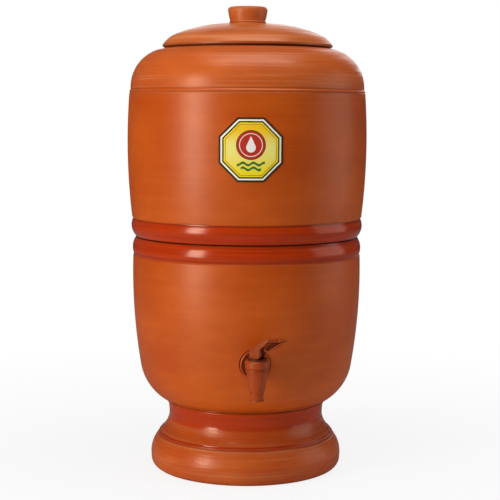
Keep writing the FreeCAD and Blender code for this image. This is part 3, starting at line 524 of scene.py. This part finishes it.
def lower_chamber():
    """Bowl and pedestal foot, with the flat and the hole for the tap."""
    piece = turned("lower_chamber_clay", [
        (99.5, 0.0), (107.9, 12.0, 2.7), (101.2, 36.2, 2.6), (100.5, 37.1, 0.15),
        (99.7, 37.7, -0.2), (99.4, 38.5, -0.2), (98.6, 40.2, 0.45), (98.0, 40.9, -0.2),
        (97.6, 41.9, -0.1), (87.3, 60.5, -2.1), (88.4, 73.4, -0.3), (89.2, 74.4, 0.15),
        (89.3, 75.4), (88.6, 76.3, 0.2), (88.0, 77.6, -0.2), (92.0, 78.4),
        (119.9, 118.5, 5.6), (128.5, 228.0, 2.4), (128.25, 242.6), (127.3, 244.0, -0.5),
        (125.4, 262.6, 2.3), (124.2, 263.7, 0.3), (116.8, 263.7),
        (116.8, 247.7), (120.5, 228.0, -2.3), (111.9, 119.9, -2.4), (84.0, 87.0, -5.6),
        (0.0, 87.0), (0.0, 77.0), (68.7, 77.0), (78.0, 67.7, -2.72), (78.0, 60.5),
        (91.3, 37.2, 2.1), (98.6, 12.0, -1.35), (90.2, 0.0, -1.35),
    ], 0.0)
    upright = (math.pi / 2.0, 0.0, 0.0)
    wall_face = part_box("tap_outer_gasket")[1].y
    inner_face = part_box("tap_inner_gasket")[0].y
    tap_middle = Vector((tap_axis.x, (wall_face + inner_face) / 2.0, shank_height))
    spot_depth = 20.0 * MM
    spot = Vector((tap_axis.x, wall_face - spot_depth / 2.0, shank_height))
    spot_radius, curved_radius, level_radius = 17.0 * MM, 15.2 * MM, 16.0 * MM
    cut(piece, rod(spot_radius, spot_depth, spot, upright))
    cut(piece, rod(curved_radius, THROUGH, tap_middle, upright))
    join(piece, rod(level_radius, inner_face - wall_face, tap_middle, upright))
    cut(piece, rod(TAP_HOLE_RADIUS, THROUGH, tap_middle, upright))
    return piece


def upper_chamber():
    """Barrel-shaped chamber with its spigot, and the two holes for the candles."""
    piece = turned("upper_chamber_clay", [
        (124.2, 0.0), (125.4, 1.1, 0.3), (128.1, 20.8, 3.2), (129.4, 22.2, -0.5),
        (132.2, 159.2, 3.3), (132.1, 159.7, 0.1), (131.5, 160.4, -0.1), (131.9, 161.2, -0.1),
        (131.8, 162.6, 0.25), (131.0, 163.7, -0.15), (130.9, 164.6, -0.2),
        (130.8, 165.8), (95.5, 209.0, 10.1), (91.7, 209.8, 0.25), (84.8, 209.8),
        (84.0, 209.0, 0.23), (84.0, 201.8), (124.2, 163.8, -10.1), (121.4, 20.8, -3.3),
        (111.4, 3.8, -3.0), (0.0, 3.8), (0.0, -6.2), (114.5, -6.2), (115.3, -5.4),
        (115.3, 0.0),
    ], seam_height)
    for number in (1, 2):
        washer = sum(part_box("candle_%d_top_washer" % number), Vector()) / 2.0
        cut(piece, rod(CANDLE_HOLE_RADIUS, THROUGH, washer))
    return piece


def lid():
    """Domed lid with its knob, and the ring under it."""
    return turned("lid_clay", [
        (82.0, 0.0), (90.9, 0.0), (91.7, 1.4, -0.23), (94.5, 1.4), (95.0, 1.9),
        (95.0, 3.4), (94.2, 4.6, 0.25), (81.5, 15.0, 1.15), (20.9, 27.3, 3.0),
        (20.1, 28.2, -0.2), (20.3, 29.8, 0.3), (19.8, 31.0, -0.2), (22.0, 41.6, 0.2),
        (18.2, 46.0, 1.6), (0.5, 46.5, 0.25), (0.0, 46.5), (0.0, 19.5), (0.5, 19.5),
        (70.0, 11.0, -2.4), (76.0, 3.8, -0.8), (76.0, -9.2), (76.8, -10.0, 0.23),
        (81.2, -10.0), (82.0, -9.2, 0.23),
    ], lid_seat)


for make, node, body, material in (
        (lower_chamber, "lower_chamber", "root", pot_clay),
        (upper_chamber, "upper_chamber", "upper", pot_clay),
        (lid, "lid", "lid", lid_clay)):
    thrown = paint(smooth(make()), material)
    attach(thrown, body)
    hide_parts(node)


# ---- tap

DRAFT = 0.15 * MM
ROSETTE_THICKNESS = 3.5 * MM


def faces_where(piece, test):
    """Selects the faces of a piece that pass a test, in edit mode, and no others."""
    take(piece)
    bpy.ops.object.mode_set(mode="EDIT")
    bpy.ops.mesh.select_mode(type="FACE")
    bpy.ops.mesh.select_all(action="DESELECT")
    bpy.ops.object.mode_set(mode="OBJECT")
    for face in piece.data.polygons:
        face.select = test(face)
    bpy.ops.object.mode_set(mode="EDIT")


def paint_shade(piece):
    """Gives the selected faces the darker plastic that is painted shade, and leaves edit mode."""
    piece.data.materials.append(painted_shade_plastic)
    piece.active_material_index = len(piece.data.materials) - 1
    bpy.ops.object.material_slot_assign()
    bpy.ops.mesh.select_mode(type="VERT")
    bpy.ops.object.mode_set(mode="OBJECT")


def side_faces(off_middle, least):
    """A test for the lever's flat side faces at one distance from its middle plane.

    Faces of under the least area, in square millimetres, are left out.
    """
    sideways = Vector((math.cos(lever_turn), math.sin(lever_turn), 0.0)).cross(AXIS)
    pin = sum(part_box("tap_lever_pin"), Vector()) / 2.0
    square_on, slack = 0.98, 0.2 * MM

    def on_side(face):
        off = abs((face.center - pin).dot(sideways))
        return abs(face.normal.dot(sideways)) > square_on and abs(off - off_middle) < slack \
            and face.area > least * MM * MM

    return on_side


def rosette_front():
    """A test for the rosette's flat front, inside its rounded rim."""
    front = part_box("tap_outer_gasket")[0].y - ROSETTE_THICKNESS
    square_on, slack = 0.95, 0.3 * MM

    def on_front(face):
        return -face.normal.y > square_on and abs(face.center.y - front) < slack

    return on_front


def hollow(piece, test, rim, depth):
    """Sinks the chosen flat faces inside a thin rim and gives them painted shade."""
    faces_where(piece, test)
    bpy.ops.mesh.inset(thickness=rim, depth=0.0, use_individual=True)
    bpy.ops.mesh.inset(thickness=DRAFT, depth=-depth, use_individual=True)
    paint_shade(piece)


for node, edge, body, material in (
        ("tap_body", 0.35 * MM, "root", tap_plastic),
        ("tap_bonnet", 0.3 * MM, "root", tap_plastic),
        ("tap_cam_washer", 0.25 * MM, "swivel", washer_and_shade_plastic),
        ("tap_lever", 0.35 * MM, "lever", lever_in_shade_plastic)):
    paint(moulded(node, edge, body), material)

web_half, paddle_half = 1.6 * MM, 6.0 * MM
lever = bpy.data.objects["tap_lever_moulded"]
# The lever's sunk side faces are given painted shade.
hollow(lever, side_faces(web_half, least=20.0), rim=0.8 * MM, depth=0.9 * MM)
hollow(lever, side_faces(paddle_half, least=8.0), rim=0.35 * MM, depth=0.5 * MM)
body = bpy.data.objects["tap_body_moulded"]
# The rosette's flat front is given painted shade.
faces_where(body, rosette_front())
paint_shade(body)

for name, outline in (
        ("tap_collar_rings", [
            (11.0, -3.2), (11.5, -2.8), (11.9, -2.4, 0.1), (11.9, -1.9), (11.5, -1.6, 0.1),
            (11.3, -0.9, -0.2), (12.0, -0.6), (12.1, -0.1, 0.1), (11.9, 0.3), (11.0, 0.5)]),
        ("tap_shoulder_ring", [
            (6.4, -26.6), (7.2, -26.4), (7.5, -26.0, 0.1), (7.5, -25.5), (7.2, -25.1, 0.1),
            (6.4, -24.6)]),
        ("tap_spout_lip", [
            (6.4, -34.0), (7.2, -34.0), (7.6, -33.7, 0.1), (7.6, -32.8), (7.2, -32.4, 0.1),
            (6.4, -32.1)])):
    ring = paint(smooth(turned(name, outline, shank_height, 0.3 * MM, 96, tap_axis)), tap_plastic)
    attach(ring, "root")

label_piece = paint(moulded("label", 0.1 * MM, "upper"), paper)


def spring():
    """The coil, which on the tap shortens as the lever is pressed; here it is a steel copy with a
    mesh of its own.
    """
    coil = paint(moulded("tap_spring", 0.0, "root"), steel)
    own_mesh(coil)


spring()


# ---- floor, light and camera

def stage_floor():
    """A plain white floor that keeps a soft shadow and fades into the backdrop."""
    let_go()
    bpy.ops.mesh.primitive_plane_add(size=12.0, location=(0.0, 0.0, 0.0))
    floor = settle(bpy.context.object, "studio_floor")
    finish = Finish("studio_white")
    seen = finish.add("ShaderNodeLightPath").outputs["Is Camera Ray"]
    mirrored = finish.tree.nodes["Light Path"].outputs["Is Glossy Ray"]
    white, pale, dim = (tuple([tone] * 3 + [1.0]) for tone in (0.92, 0.85, 0.3))
    bounced = finish.mix(mirrored, pale, dim)
    finish.set(Base_Color=finish.mix(seen, bounced, white), Roughness=0.9)
    reach = finish.add("ShaderNodeVectorMath", {0: finish.place}, operation="LENGTH")
    away = reach.outputs["Value"]
    near, far, glowing_near = 0.15, 0.9, 0.86
    share = finish.sum("MULTIPLY", seen, finish.spread(away, near, far, glowing_near, 1.0))
    glow = finish.add("ShaderNodeEmission", {"Strength": 1.0}).outputs["Emission"]
    mixed = finish.add("ShaderNodeMixShader", {0: share, 1: finish.shader.outputs[0], 2: glow})
    output = finish.tree.nodes["Material Output"]
    finish.tree.links.new(mixed.outputs[0], output.inputs["Surface"])
    paint(floor, finish.material)


def softbox(name, place, target, size, power):
    """A rectangular lamp that faces a point of the pot."""
    lamp = bpy.data.lights.new(name, "AREA")
    lamp.shape = "RECTANGLE"
    lamp.size, lamp.size_y = size
    lamp.energy = power
    stand = bpy.data.objects.new(name, lamp)
    bpy.context.scene.collection.objects.link(stand)
    stand.location = place
    stand.rotation_euler = (Vector(target) - Vector(place)).to_track_quat("-Z", "Y").to_euler()


def studio_world():
    """White to the eye, and much dimmer as light on the pot and in its gloss."""
    ambient = 0.06
    world = bpy.data.worlds.new("studio")
    bpy.context.scene.world = world
    world.use_nodes = True
    nodes, links = world.node_tree.nodes, world.node_tree.links
    path = nodes.new("ShaderNodeLightPath")
    lit = nodes["Background"]
    lit.inputs["Color"].default_value = (1.0, 1.0, 1.0, 1.0)
    lit.inputs["Strength"].default_value = ambient
    seen = nodes.new("ShaderNodeBackground")
    seen.inputs["Color"].default_value = (1.0, 1.0, 1.0, 1.0)
    seen.inputs["Strength"].default_value = 1.0
    mixed = nodes.new("ShaderNodeMixShader")
    links.new(path.outputs["Is Camera Ray"], mixed.inputs[0])
    links.new(lit.outputs[0], mixed.inputs[1])
    links.new(seen.outputs[0], mixed.inputs[2])
    links.new(mixed.outputs[0], nodes["World Output"].inputs["Surface"])


def portrait_camera():
    """Stands in front of the pot, a little to its left, and looks slightly down."""
    lens = bpy.data.cameras.new("camera")
    lens.sensor_width = 36.0
    lens.lens = 99.2
    camera = bpy.data.objects.new("camera", lens)
    bpy.context.scene.collection.objects.link(camera)
    camera.location = (-0.1222, -1.5529, 0.4047)
    pitch, roll, yaw = 90.0 - 5.785, -0.32, -4.5 - 0.112
    camera.rotation_euler = [math.radians(angle) for angle in (pitch, roll, yaw)]
    bpy.context.scene.camera = camera


stage_floor()
studio_world()
middle = (0.0, 0.0, 0.28)
softbox("key", (-1.42, -1.03, 0.38), (0.0, 0.0, 0.24), (0.5, 1.5), 24.7)
softbox("fill", (1.5, -0.13, 0.45), middle, (1.1, 1.3), 5.0)
softbox("top", (0.05, -0.35, 1.8), (0.0, 0.0, 0.45), (1.4, 0.8), 16.0)
softbox("back", (0.4, 1.6, 1.0), middle, (1.2, 0.8), 5.0)
portrait_camera()
bpy.context.scene.view_settings.view_transform = "Standard"
